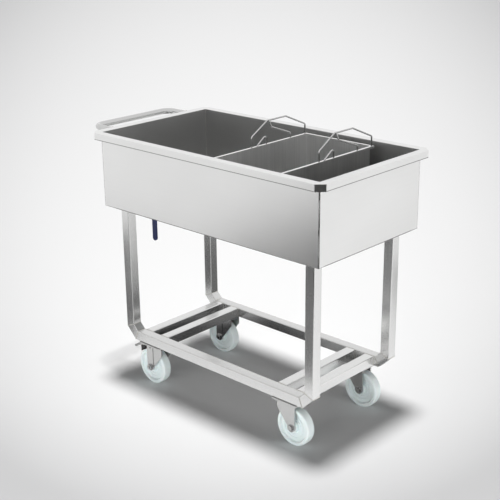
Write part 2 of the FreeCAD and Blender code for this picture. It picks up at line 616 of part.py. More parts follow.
def make_lever():
    """The valve stem, the flat lever that hangs from it, its plastic sleeve and its nut."""
    place = (f"{TUB_X} + {VALVE_X}", "0", VALVE_Z)
    front = f"({LEVER_Y} - lever_thick)"
    stem = new_body("valve_stem", *place)
    slab(stem, "XZ_Plane", f"{front} - stem_out", "-ball_dia / 2", circle("0", "0", "stem_dia / 2"))
    lever = new_body("valve_lever", *place)
    half, tip = "lever_width / 2", "-(lever_length - lever_width / 2)"
    bar = rectangle(f"-{half}", half, tip, "0")
    slab(lever, "XZ_Plane", front, LEVER_Y, bar)
    slab(lever, "XZ_Plane", front, LEVER_Y, circle("0", "0", "lever_eye / 2"))
    slab(lever, "XZ_Plane", front, LEVER_Y, circle("0", tip, half))
    slab(lever, "XZ_Plane", front, LEVER_Y, circle("0", "0", "stem_dia / 2"), cut=True)
    sleeve = new_body("lever_sleeve", *place)
    around = f"{half} + sleeve_wall"
    skin = (f"{front} - sleeve_wall", f"{LEVER_Y} + sleeve_wall")
    top = "sleeve_length - lever_length"
    slab(sleeve, "XZ_Plane", *skin, rectangle(f"-({around})", around, tip, top))
    slab(sleeve, "XZ_Plane", *skin, circle("0", tip, around))
    slab(sleeve, "XZ_Plane", front, LEVER_Y, bar, cut=True)
    slab(sleeve, "XZ_Plane", front, LEVER_Y, circle("0", tip, half), cut=True)
    nut = new_body("lever_nut", *place)
    nut_span = (f"{front} - lever_nut_height", front)
    slab(nut, "XZ_Plane", *nut_span, hexagon("0", "0", "lever_nut_flats"), circle("0", "0", "stem_dia / 2"))


def make_basket():
    """The sheet basket with its folded lip, and the slotted floor that lies on its ledge."""
    place = (f"{TUB_X} + {BASKET_X}", BASKET_Y, "0")
    shell = new_body("basket_shell", *place)
    wall_x, wall_y = "(basket_x / 2 - basket_lip)", "(basket_y / 2 - basket_lip)"

    def frame(x, y):
        return rectangle(f"-({x})", x, f"-({y})", y)
    walls = frame(wall_x, wall_y)
    inner = frame(f"{wall_x} - basket_sheet", f"{wall_y} - basket_sheet")
    ledge = frame(f"{wall_x} - basket_ledge", f"{wall_y} - basket_ledge")
    lip = frame("basket_x / 2", "basket_y / 2")
    lip_inner = frame("basket_x / 2 - basket_sheet", "basket_y / 2 - basket_sheet")
    ledge_top = f"({FLOOR_TOP} + basket_sheet)"
    hem_low = f"{BASKET_TOP} - basket_hem"
    slab(shell, "XY_Plane", FLOOR_TOP, BASKET_TOP, walls)
    slab(shell, "XY_Plane", hem_low, BASKET_TOP, lip)
    slab(shell, "XY_Plane", hem_low, f"{BASKET_TOP} - basket_sheet", lip_inner, walls, cut=True)
    slab(shell, "XY_Plane", ledge_top, BASKET_TOP, inner, cut=True)
    slab(shell, "XY_Plane", FLOOR_TOP, ledge_top, ledge, cut=True)
    round_edges(shell, "basket_bend", uprights(wall_x, wall_y))
    inside_corners = uprights(f"{wall_x} - basket_sheet", f"{wall_y} - basket_sheet")
    round_edges(shell, "basket_bend - basket_sheet", inside_corners)
    floor = new_body("basket_floor", *place)
    fit = "(basket_sheet + fit_gap)"
    floor_top = f"{ledge_top} + basket_sheet"
    plate = clipped(f"2 * ({wall_x} - {fit})", f"2 * ({wall_y} - {fit})", "basket_bend")
    slab(floor, "XY_Plane", ledge_top, floor_top, plate)
    first_x, first_y = f"slot_margin - {wall_x}", f"slot_margin - {wall_y}"
    slot = slab(floor, "XY_Plane", ledge_top, floor_top, rectangle(
        f"{first_x} - slot_length / 2", f"{first_x} + slot_length / 2",
        f"{first_y} - slot_width / 2", f"{first_y} + slot_width / 2"
    ), cut=True)
    sketch = slot.Profile[0]
    pattern = floor.newObject("PartDesign::MultiTransform", "slot_grid")
    steps = []
    for axis, reach, count in (("H_Axis", wall_x, "slot_columns"), ("V_Axis", wall_y, "slot_rows")):
        step = doc.addObject("PartDesign::LinearPattern", f"slots_{axis}")
        step.Direction = (sketch, [axis])
        step.setExpression("Length", bind(f"2 * ({reach} - slot_margin)"))
        step.setExpression("Occurrences", bind(count))
        steps.append(step)
    pattern.Originals = [slot]
    pattern.Transformations = steps
    floor.Tip = pattern


def make_basket_handle(name, sense):
    """Three bent wires on one long rim: the lifting bail, its brace and the stop loop."""
    x = f"{BASKET_X} + {sense} * (basket_x - basket_lip) / 2"
    lean = f"{x} - bail_lean"
    foot = f"({BASKET_Y} + basket_y / 2 - bail_foot)"
    grip_far, grip_near = f"{foot} - (bail_span - bail_grip) / 2", f"{foot} - (bail_span + bail_grip) / 2"
    near_foot, brace_root = f"{foot} - bail_span", f"{foot} - brace_foot"
    bail = [
        (x, foot, "0"), (x, foot, "bail_post"), (lean, grip_far, "bail_rise"),
        (lean, grip_near, "bail_rise"), (x, near_foot, "bail_post"), (x, near_foot, "0")
    ]
    brace = [
        (x, brace_root, "0"), (x, brace_root, "brace_kink"),
        (f"{x} - brace_lean", f"{foot} - brace_turn", "brace_rise"),
        (lean, f"{foot} - brace_top", "bail_rise")
    ]
    loop = [
        (x, f"{foot} - loop_foot", "0"), (x, f"{foot} - loop_foot", "loop_rise"),
        (x, f"{foot} - loop_foot - loop_span", "0")
    ]
    wires = []
    for route in (bail, brace, loop):
        points = [point(a, b, f"{BASKET_TOP} + {c}") for a, b, c in route]
        wires.append(bent_rod(points, number("wire_bend"), number("wire_dia / 2")))
    below = Part.makeBox(
        number("basket_lip * 2"), number("basket_y"), number("wire_dia"),
        point(f"{x} - basket_lip", f"{BASKET_Y} - basket_y / 2", f"{BASKET_TOP} - wire_dia")
    )
    keep(name, wires[0].fuse(wires[1:]).removeSplitter().cut(below))


make_tub()
make_push_handle()
for side in SIDES:
    make_side_frame(side)
make_cross_rails()
for side, end in CORNERS:
    braked = end == "left"
    make_castor_plate(side, end)
    make_fork(side, end, braked)
    make_race(side, end)
    make_wheel(side, end)
    make_bush(side, end)
    make_axle(side, end)
    if braked:
        make_brake(side, end)
make_castor_fasteners()
make_drain()
make_basket()
make_basket_handle("basket_handle_left", -1)
make_basket_handle("basket_handle_right", 1)
doc.recompute()

for item in doc.Objects:
    if "Invalid" in item.State or "Error" in item.State:
        raise RuntimeError(f"{item.Label} did not build")
for item in doc.Objects:
    is_piece = item.isDerivedFrom("PartDesign::Body") or item.TypeId in ("Part::Feature", "Part::Cut")
    if not is_piece:
        continue
    if item.Shape.isNull() or not item.Shape.isValid():
        raise RuntimeError(f"{item.Label} has no valid shape")
    item.Shape.exportStep(f"parts/{item.Label}.step")
    print(f"{item.Label}: {item.Shape.Volume:.0f} mm3, {len(item.Shape.Solids)} solids")
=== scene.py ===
"""Dresses the cooking basket trolley: satin stainless sheet and tube, welds, castors and stage."""
import math

import bmesh
import bpy
from mathutils import Matrix, Vector


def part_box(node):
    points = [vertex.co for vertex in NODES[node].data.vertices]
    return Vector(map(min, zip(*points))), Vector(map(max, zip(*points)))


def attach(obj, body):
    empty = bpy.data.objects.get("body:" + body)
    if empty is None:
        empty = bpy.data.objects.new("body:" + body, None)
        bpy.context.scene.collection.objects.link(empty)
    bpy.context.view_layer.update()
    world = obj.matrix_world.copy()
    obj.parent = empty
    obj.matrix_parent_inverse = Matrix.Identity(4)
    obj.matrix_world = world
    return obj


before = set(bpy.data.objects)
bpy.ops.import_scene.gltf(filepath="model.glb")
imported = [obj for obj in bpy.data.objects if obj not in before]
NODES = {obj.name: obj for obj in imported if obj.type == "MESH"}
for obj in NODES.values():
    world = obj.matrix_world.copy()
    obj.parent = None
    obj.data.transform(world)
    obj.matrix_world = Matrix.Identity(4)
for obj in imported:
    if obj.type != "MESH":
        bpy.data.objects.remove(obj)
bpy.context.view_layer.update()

bl_info = {
    "name": "Cooking Basket Trolley",
    "version": (1, 0, 0),
    "blender": (4, 5, 0),
    "location": "3D View > Sidebar > Trolley",
    "description": "Finishes, welds and small parts for a basket trolley, with its studio stage",
    "category": "Object",
}

CORNERS = [(side, end) for side in ("front", "rear") for end in ("left", "right")]

# The tub's folded sheet, in metres.
FLANGE = 0.030
SHEET = 0.002
SKIRT = 0.027
CORNER_CUT = 0.027
# Depth below the rim where the painted shadow line at the skirt's lower edge begins.
SKIRT_SHADOW_FROM = 0.0245
FOLD_RADIUS = 0.0014
BEND = 0.004

# A weld bead: ring spacing and ripple in radii, tapered end as a share of half its length.
RING_SPACING = 1.6
RIPPLE_RATE = 2.1
TAPER = 0.08
HEAVY_BEAD = 1.4

# The collar of weld round the push handle, in metres.
COLLAR_PROUD = 0.0022
COLLAR_SUNK = 0.001
COLLAR_HEIGHT = 0.0024
COLLAR_BEVEL = 0.0011

# Rings on a wheel: outer and inner radius as shares of the wheel's, then height and bevel in metres.
HUB_RINGS = ((0.62, 0.58, 0.0018, 0.0007), (0.45, 0.40, 0.0022, 0.0008))
HUB_FACE = 0.476
# A washer on an axle: outer and inner radius, height and bevel in metres.
AXLE_WASHER = (0.0135, 0.0085, 0.0016, 0.0005)


def even(scale):
    return (scale, scale, scale)


BROAD = 2.2
# Finish, grain along X, Y and Z, change of roughness, tone, clouds to the metre, and the CAD pieces.
STEELS = (
    ("leg_satin", (620, 620, 5), -0.07, 0.94, BROAD, ("leg_",)),
    # Painted shade: the knees and long rails take a darker copy of the legs' steel, for the shade under
    # the tub.
    ("rail_satin", (6, 620, 620), -0.06, 0.85, BROAD, ("knee_", "long_rail_")),
    ("cross_satin", (620, 6, 620), -0.06, 0.94, BROAD, ("outer_cross", "inner_cross")),
    # Painted shade: the push handle takes a darker copy of the same steel, for the dark things it
    # mirrors.
    ("handle_satin", (400, 6, 400), -0.12, 0.74, BROAD, ("push_handle",)),
    ("basket_floor_steel", even(300), 0.0, 0.85, BROAD, ("basket_floor",)),
    ("pressed_steel", even(160), -0.06, 0.64, 9, ("castor_plate", "fork_", "valve_lever")),
    ("plated_steel", even(200), -0.04, 0.5, 12, ("brake_pedal", "swivel_race")),
    ("turned_steel", even(300), -0.08, 0.6, 12, (
        "axle_", "castor_bolts", "kingpins", "brake_pin", "valve_ball", "valve_stem", "lever_nut")),
    ("cast_steel", even(90), 0.08, 0.92, 20, ("drain_elbow", "valve_body", "outlet_spout")),
)
WIPES = (9, 9, 3)

# Name, place, size and power of each soft lamp, and the point that they all face.
LAMPS = (
    ("front_lamp", (0.5, -3.6, 0.42), (3.0, 0.7), 56),
    ("right_lamp", (3.8, -0.4, 0.42), (3.0, 0.7), 44),
)
LAMP_AIM = (0.1, 0, 0.3)
SUN_HEIGHT, SUN_STRENGTH, SUN_ANGLE = 4, 2.75, 7
# Name, place, size, facing, turn in degrees and grey of each card.
CARDS = (
    ("camera_card", (1.33, -1.0, 0.68), (1.3, 1.3), (-0.7, 0.7, 0.0), 0.0, 0.01),
    ("front_card", (-0.4, -1.14, 0.02), (1.4, 0.95), (0, 0, 1), 0.0, 0.19),
    ("left_card", (-1.376, -0.778, 0.02), (1.6, 0.6), (0, 0, 1), 46.85, 0.12),
    ("wall_card", (0.0, -2.4, 0.02), (2.4, 1.8), (0, 0, 1), 0.0, 0.01),
    ("under_card", (0.299, 0.884, 0.02), (2.5, 0.85), (0, 0, 1), 46.85, 0.16),
)
# The world's light on all things, and what it adds for the camera and in the metal.
AMBIENT, SURROUND, MIRRORED = 0.08, 0.7, 0.92
# The floor's painted fall-off of light: half the view at a depth of one metre, the darkening at the
# frame's edge and towards its foot, the most there is of it and how gently that is reached, and its
# depths.
HALF_VIEW = 0.241
EDGE_FALL, FOOT_FALL = 0.13, 3.0
MOST_FALL, FALL_EASE = 0.41, 0.06
FALL_FROM, FALL_WHOLE = 1.0, 3.4
FLOOR_REACH = 40
SENSOR_WIDTH = 36


class TrolleyFinish(bpy.types.PropertyGroup):
    """Colours and roughness of the trolley's own materials."""
    steel: bpy.props.FloatVectorProperty(
        name="Stainless", description="Colour of the satin sheet", subtype="COLOR", size=3,
        default=(0.78, 0.78, 0.775), min=0, max=1)
    steel_rough: bpy.props.FloatProperty(
        name="Satin", description="Roughness of the satin sheet", default=0.3, min=0, max=1)
    nylon: bpy.props.FloatVectorProperty(
        name="Nylon", description="Colour of the castor wheels", subtype="COLOR", size=3,
        default=(0.86, 0.94, 0.94), min=0, max=1)
    sleeve: bpy.props.FloatVectorProperty(
        name="Sleeve", description="Colour of the valve lever's sleeve", subtype="COLOR", size=3,
        default=(0.006, 0.012, 0.075), min=0, max=1)


class TrolleyWelds(bpy.types.PropertyGroup):
    """Sizes of the weld beads and the small seams."""
    bead: bpy.props.FloatProperty(
        name="Bead", description="Radius of a weld bead on the tubes", default=0.0016,
        min=0.0005, max=0.004, unit="LENGTH")
    seam: bpy.props.FloatProperty(
        name="Seam", description="Radius of the tub's corner seams", default=0.0012,
        min=0.0005, max=0.004, unit="LENGTH")


class TrolleyStage(bpy.types.PropertyGroup):
    """The studio's camera."""
    lens: bpy.props.FloatProperty(
        name="Lens", description="Focal length of the camera in millimetres", default=74.7,
        min=20, max=200)
    azimuth: bpy.props.FloatProperty(
        name="Azimuth", description="Where the camera stands round the trolley",
        default=math.radians(43.15), subtype="ANGLE")
    elevation: bpy.props.FloatProperty(
        name="Elevation", description="Height of the camera above the horizon",
        default=math.radians(19.52), subtype="ANGLE")
    roll: bpy.props.FloatProperty(
        name="Roll", description="Turn of the camera about its own axis",
        default=math.radians(-0.62), subtype="ANGLE")
    place: bpy.props.FloatVectorProperty(
        name="Place", description="Where the camera stands", subtype="TRANSLATION", size=3,
        unit="LENGTH", default=(2.611, -2.7495, 1.9377))


class Wire:
    """A node socket that takes part in Python sums."""

    def __init__(self, nodes, socket):
        self.nodes = nodes
        self.socket = socket

    def maths(self, operation, *values):
        return self.nodes.add("ShaderNodeMath", {"operation": operation}, *values)

    def __add__(self, other):
        return self.maths("ADD", self, other)

    def __sub__(self, other):
        return self.maths("SUBTRACT", self, other)

    def __rsub__(self, other):
        return self.maths("SUBTRACT", other, self)

    def __mul__(self, other):
        return self.maths("MULTIPLY", self, other)

    def __truediv__(self, other):
        return self.maths("DIVIDE", self, other)

    def __rtruediv__(self, other):
        return self.maths("DIVIDE", other, self)

    def above(self, level):
        """One where this is greater than a level, and nothing elsewhere."""
        return self.maths("GREATER_THAN", self, level)

    def at_most(self, limit):
        return self.maths("MINIMUM", self, limit)

    def eased_to(self, limit, ease):
        """This, turning gently level as it comes to a limit."""
        return self.maths("SMOOTH_MIN", self, limit, ease)

    def root(self):
        return self.maths("SQRT", self)

    __radd__ = __add__
    __rmul__ = __mul__


class Nodes:
    """A node tree under construction."""

    def __init__(self, tree):
        self.tree = tree

    def add(self, kind, settings, *values, output=None, **named):
        """Add a node: settings first, then values or links for its live sockets, in order or by name."""
        node = self.tree.nodes.new(kind)
        for key, value in settings.items():
            setattr(node, key, value)
        live = [socket for socket in node.inputs if socket.enabled]
        for socket, value in zip(live, values):
            self.feed(socket, value)
        self.fill(node, named)
        results = [socket for socket in node.outputs if socket.enabled]
        return Wire(self, node.outputs[output] if output else results[0])

    def fill(self, node, named):
        """Set or link a node's sockets by name, with an underscore for each space."""
        for key, value in named.items():
            self.feed(node.inputs[key.replace("_", " ")], value)

    def feed(self, socket, value):
        if isinstance(value, Wire):
            self.tree.links.new(value.socket, socket)
        else:
            socket.default_value = value


class Surface(Nodes):
    """A material under construction: its coordinates and its shader."""

    def __init__(self, name):
        self.material = bpy.data.materials.new(name)
        self.material.use_nodes = True
        super().__init__(self.material.node_tree)
        self.shader = self.tree.nodes["Principled BSDF"]
        self.place = self.add("ShaderNodeTexCoord", {}, output="Object")

    def put(self, **inputs):
        """Set or link the shader's own sockets."""
        self.fill(self.shader, inputs)

    def noise(self, scale, detail):
        """Noise with its own scale along each axis."""
        stretched = self.add("ShaderNodeMapping", {}, Vector=self.place, Scale=scale)
        return self.add("ShaderNodeTexNoise", {}, Vector=stretched, Scale=1.0, Detail=detail)

    def axis(self, name):
        return self.add("ShaderNodeSeparateXYZ", {}, self.place, output=name)

    def along(self, direction):
        """How far the surface point lies along a direction."""
        return self.add(
            "ShaderNodeVectorMath", {"operation": "DOT_PRODUCT"}, self.place, direction, output="Value")

    def within(self, low, high, inset):
        """One inside a box's plan drawn in by an inset, and nothing outside it."""
        middle = (low + high) / 2
        reach = (high - low) / 2 - Vector((inset, inset, 0))
        x = (self.axis("X") - middle.x) / reach.x
        y = (self.axis("Y") - middle.y) / reach.y
        return (1 - (x * x).above(1.0)) * (1 - (y * y).above(1.0))

    def blend(self, factor, low, high):
        """Mix two colours by a factor."""
        return self.add("ShaderNodeMix", {"data_type": "RGBA"}, factor, low, high)

    def bump(self, height, strength, distance):
        return self.add(
            "ShaderNodeBump", {}, Height=height, Strength=strength, Distance=distance, output="Normal")


def finish():
    return bpy.context.scene.trolley_finish


def welds():
    return bpy.context.scene.trolley_welds


def shaded(colour, factor):
    """A colour made lighter or darker, as a shader takes it."""
    return (*[min(1, c * factor) for c in colour], 1)


# The noises in the finishes below lie round a half, so roughness starts that much lower.

def satin_steel(name, grain, rough, tone, cloud):
    """Brushed stainless: fine lines across the grain, faint clouds and wiped marks."""
    surface = Surface(name)
    base = finish().steel
    lines = surface.noise(grain, 4.0)
    clouds = surface.noise((cloud, cloud, cloud * 1.3), 3.0)
    wipes = surface.noise(WIPES, 2.0)
    mix = lines * 0.35 + clouds * 0.65
    level = finish().steel_rough + rough - 0.115
    surface.put(
        Base_Color=surface.blend(mix, shaded(base, 0.9 * tone), shaded(base, 1.08 * tone)),
        Roughness=lines * 0.1 + clouds * 0.08 + wipes * 0.05 + level,
        Normal=surface.bump(lines, 0.03, 0.0002),
        Metallic=1.0,
    )
    return surface.material


def tub_steel(name):
    """The tub's sheet: brushed outside; rougher inside and darkened there with painted shade; a painted
    shadow line along the skirt's lower edge.
    """
    surface = Surface(name)
    base = finish().steel
    low, high = (Vector(corner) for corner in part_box("tub_shell"))
    lines = surface.noise((4, 4, 260), 1.0)
    clouds = surface.noise((2.2, 2.2, 2.9), 2.0)
    wipes = surface.noise(WIPES, 2.0)
    height = surface.axis("Z")
    above_floor = height.above(low.z + SHEET / 2)
    below_rim = 1 - height.above(high.z - SHEET * 1.5)
    inside = surface.within(low, high, FLANGE + SHEET / 2) * above_floor * below_rim
    # Painted shadow: a dark band along the skirt's lower edge, where the skirt's shadow line falls.
    skirt_shadow_line = (1 - surface.within(low, high, SHEET * 1.5)) * (1 - height.above(high.z - SKIRT_SHADOW_FROM))
    mix = lines * 0.15 + clouds * 0.85
    brushed = surface.blend(mix, shaded(base, 0.9), shaded(base, 1.08))
    # Painted shade: the inside of the tub is coloured darker to stand in for the shade in its hollow.
    painted_shade_inside = surface.blend(mix, shaded(base, 0.66), shaded(base, 0.84))
    level = finish().steel_rough - 0.08
    surface.put(
        Base_Color=surface.blend(inside, surface.blend(skirt_shadow_line, brushed, shaded(base, 0.3)), painted_shade_inside),
        Roughness=lines * 0.04 + clouds * 0.08 + wipes * 0.04 + inside * 0.04 + level,
        Normal=surface.bump(lines, 0.008, 0.0002),
        Metallic=1.0,
    )
    return surface.material


def basket_steel(name):
    """Thin drawn sheet with faint upright streaks."""
    surface = Surface(name)
    base = finish().steel
    streaks = surface.noise((240, 240, 3), 3.0)
    clouds = surface.noise((7, 7, 4), 3.0)
    mix = streaks * 0.6 + clouds * 0.4
    surface.put(
        Base_Color=surface.blend(mix, shaded(base, 0.74), shaded(base, 1.28)),
        Roughness=clouds * 0.14 + streaks * 0.08 + (finish().steel_rough - 0.06),
        Normal=surface.bump(streaks, 0.04, 0.0002),
        Metallic=1.0,
    )
    return surface.material


def bright_wire(name):
    """Drawn wire, polished, with faint lengthwise marks."""
    surface = Surface(name)
    base = finish().steel
    marks = surface.noise((180, 60, 180), 2.0)
    surface.put(
        Base_Color=surface.blend(marks, shaded(base, 0.5), shaded(base, 0.72)),
        Roughness=marks * 0.1 + 0.12,
        Metallic=1.0,
    )
    return surface.material


def weld_metal(name):
    """Weld metal: ripples and a faint straw tint."""
    surface = Surface(name)
    straw = (0.6, 0.57, 0.5, 1)
    ripples = surface.noise(even(420), 2.0)
    warmth = surface.noise(even(60), 2.0)
    surface.put(
        Base_Color=surface.blend(warmth, shaded(finish().steel, 0.8), straw),
        Roughness=ripples * 0.25 + 0.28,
        Normal=surface.bump(ripples, 0.5, 0.0004),
        Metallic=1.0,
    )
    return surface.material


def wheel_nylon(name):
    """Cast nylon: slightly cloudy, with scuffs on the tread."""
    surface = Surface(name)
    base = finish().nylon
    clouds = surface.noise(even(24), 3.0)
    scuffs = surface.noise((260, 60, 260), 3.0)
    mix = clouds * 0.7 + scuffs * 0.3
    surface.put(
        Base_Color=surface.blend(mix, shaded(base, 0.9), shaded(base, 1.06)),
        Roughness=scuffs * 0.15 + 0.34,
        Normal=surface.bump(scuffs, 0.12, 0.0003),
        Subsurface_Weight=0.06,
        Specular_IOR_Level=0.45,
    )
    return surface.material


def moulded(name, colour, rough, scale):
    """Moulded rubber or plastic with a fine grain."""
    surface = Surface(name)
    grain = surface.noise(even(scale), 2.0)
    clouds = surface.noise(even(30), 2.0)
    surface.put(
        Base_Color=surface.blend(clouds, shaded(colour, 0.85), shaded(colour, 1.2)),
        Roughness=grain * 0.14 + rough,
        Normal=surface.bump(grain, 0.18, 0.0002),
    )
    return surface.material


def dress(material, *starts):
    """Give a material to the CAD nodes whose names start in one of these ways."""
    for name, node in NODES.items():
        if name.startswith(starts):
            node.data.materials.clear()
            node.data.materials.append(material)


def piece(name, mesh, body, material):
    """Turn a bmesh into an object that rides on a body."""
    bmesh.ops.recalc_face_normals(mesh, faces=mesh.faces)
    data = bpy.data.meshes.new(name)
    mesh.to_mesh(data)
    mesh.free()
    for polygon in data.polygons:
        polygon.use_smooth = True
    data.materials.append(material)
    made = bpy.data.objects.new(name, data)
    bpy.context.scene.collection.objects.link(made)
    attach(made, body)


def tilted(axis, centre):
    """A placing that turns +Z onto an axis and moves the origin to a centre."""
    turn = Vector((0, 0, 1)).rotation_difference(Vector(axis)).to_matrix().to_4x4()
    return Matrix.Translation(Vector(centre)) @ turn


def add_bead(mesh, start, stop, radius, ripple=0.1):
    """A rounded bead from one point to another, rippled by rings of unlike size."""
    start, stop = Vector(start), Vector(stop)
    length = (stop - start).length
    middle = (start + stop) / 2
    rings = max(6, int(length / (radius * RING_SPACING))) if ripple else 12
    made = bmesh.ops.create_cone(
        mesh, cap_ends=True, segments=8, radius1=radius, radius2=radius, depth=length,
        matrix=tilted(stop - start, middle))
    sides = {edge for vert in made["verts"] for edge in vert.link_edges}
    along = (stop - start).normalized()
    lengthwise = [
        edge for edge in sides
        if abs((edge.verts[0].co - edge.verts[1].co).normalized().dot(along)) > 0.99]
    bmesh.ops.subdivide_edges(mesh, edges=lengthwise, cuts=rings, use_grid_fill=False)
    for vert in mesh.verts:
        if vert.tag:
            continue
        vert.tag = True
        travel = (vert.co - middle).dot(along)
        core = middle + along * travel
        end = abs(travel) / (length / 2)
        swell = 1 - ripple + ripple * math.sin(travel / radius * RIPPLE_RATE)
        taper = math.sqrt(max(0.05, 1 - max(0, end - (1 - TAPER)) / TAPER))
        vert.co = core + (vert.co - core) * swell * taper


def add_rectangle(mesh, xs, ys, z, radius):
    """Beads along the four sides of a level rectangle."""
    for y in ys:
        add_bead(mesh, (xs[0], y, z), (xs[1], y, z), radius)
    for x in xs:
        add_bead(mesh, (x, ys[0], z), (x, ys[1], z), radius)


def add_loop(mesh, corners, z, radius):
    """A smooth round edge from corner to corner at one height."""
    for start, stop in zip(corners, corners[1:] + corners[:1]):
        add_bead(mesh, (*start, z), (*stop, z), radius, ripple=0)


def add_ring(mesh, centre, axis, outer, inner, height, bevel):
    """A bevelled flat ring round an axis."""
    profile = [(inner, 0), (outer - bevel, 0), (outer, bevel), (outer, height - bevel),
               (outer - bevel, height), (inner, height)]
    verts = [mesh.verts.new(Vector((r, 0, z))) for r, z in profile]
    edges = [mesh.edges.new((a, b)) for a, b in zip(verts, verts[1:] + verts[:1])]
    bmesh.ops.spin(
        mesh, geom=verts + edges, cent=(0, 0, 0), axis=(0, 0, 1), angle=math.tau, steps=40,
        use_merge=True)
    fresh = [vert for vert in mesh.verts if not vert.tag]
    bmesh.ops.transform(mesh, matrix=tilted(axis, centre), verts=fresh)
    for vert in fresh:
        vert.tag = True


def add_fold(mesh, centre, outward, radius, heights):
    """A thin quarter-round strip up a folded corner, a hair proud of the sheet."""
    proud, deep = 0.00004, 0.0003
    start = math.atan2(outward[1], outward[0]) - math.pi / 4
    profile = [(radius + proud, heights[0]), (radius + proud, heights[1]),
               (radius - deep, heights[1]), (radius - deep, heights[0])]
    verts = [
        mesh.verts.new((centre[0] + r * math.cos(start), centre[1] + r * math.sin(start), z))
        for r, z in profile]
    edges = [mesh.edges.new((a, b)) for a, b in zip(verts, verts[1:] + verts[:1])]
    before = set(mesh.edges) - set(edges)
    bmesh.ops.spin(
        mesh, geom=verts + edges, cent=(*centre, 0), axis=(0, 0, 1), angle=math.pi / 2, steps=8)
    ends = [edge for edge in mesh.edges if edge not in before and edge.is_boundary]
    bmesh.ops.holes_fill(mesh, edges=ends, sides=4)


class TROLLEY_OT_finish(bpy.types.Operator):
    """Give every CAD piece its finish"""
    bl_idname = "trolley.finish"
    bl_label = "Finish Pieces"

    def execute(self, context):
        for name, grain, rough, tone, cloud, starts in STEELS:
            dress(satin_steel(name, grain, rough, tone, cloud), *starts)
        dress(tub_steel("tub_satin"), "tub_shell")
        dress(basket_steel("basket_sheet"), "basket_shell")
        dress(bright_wire("drawn_wire"), "basket_handle")
        dress(wheel_nylon("castor_nylon"), "wheel_")
        dress(moulded("shoe_rubber", (0.02, 0.02, 0.02), 0.5, 300), "brake_shoe")
        dress(moulded("sleeve_vinyl", finish().sleeve, 0.24, 200), "lever_sleeve")
        return {"FINISHED"}


class TROLLEY_OT_frame_welds(bpy.types.Operator):
    """Weld beads at the mitres, under the tub and at the cross rails"""
    bl_idname = "trolley.frame_welds"
    bl_label = "Frame Welds"

    def execute(self, context):
        metal = weld_metal("frame_weld")
        for side, end in CORNERS:
            self.weld_leg(side, end, metal)
        for end in ("left", "right"):
            for row in ("outer", "inner"):
                self.weld_cross_rail(row, end, metal)
        return {"FINISHED"}

    def weld_leg(self, side, end, metal):
        """The knee's two mitres, and the weld under the tub."""
        radius = welds().bead
        low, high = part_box(f"leg_{side}_{end}")
        knee_low, knee_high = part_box(f"knee_{side}_{end}")
        rail_low, rail_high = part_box(f"long_rail_{side}")
        if end == "right":
            outer_x, inner_x, rail_x, knee_x = high[0], low[0], rail_high[0], knee_low[0]
        else:
            outer_x, inner_x, rail_x, knee_x = low[0], high[0], rail_low[0], knee_high[0]
        outer_z, inner_z = low[2], knee_high[2]
        rail_z, rail_top = rail_low[2], rail_high[2]
        near, far = low[1], high[1]
        mesh = bmesh.new()
        for y in (near, far):
            add_bead(mesh, (outer_x, y, outer_z), (inner_x, y, inner_z), radius)
        add_bead(mesh, (outer_x, near, outer_z), (outer_x, far, outer_z), radius)
        add_bead(mesh, (inner_x, near, inner_z), (inner_x, far, inner_z), radius)
        for y in (near, far):
            add_bead(mesh, (rail_x, y, rail_z), (knee_x, y, rail_top), radius)
        add_bead(mesh, (knee_x, near, rail_top), (knee_x, far, rail_top), radius)
        add_rectangle(mesh, (low[0], high[0]), (near, far), high[2], radius * HEAVY_BEAD)
        piece(f"leg_welds_{side}_{end}", mesh, "trolley", metal)

    def weld_cross_rail(self, row, end, metal):
        """A rectangle of beads at each end of a cross rail."""
        radius = welds().bead
        low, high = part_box(f"{row}_cross_rail_{end}")
        mesh = bmesh.new()
        for y in (low[1], high[1]):
            for z in (low[2], high[2]):
                add_bead(mesh, (low[0], y, z), (high[0], y, z), radius)
            for x in (low[0], high[0]):
                add_bead(mesh, (x, y, low[2]), (x, y, high[2]), radius)
        piece(f"{row}_cross_welds_{end}", mesh, "trolley", metal)


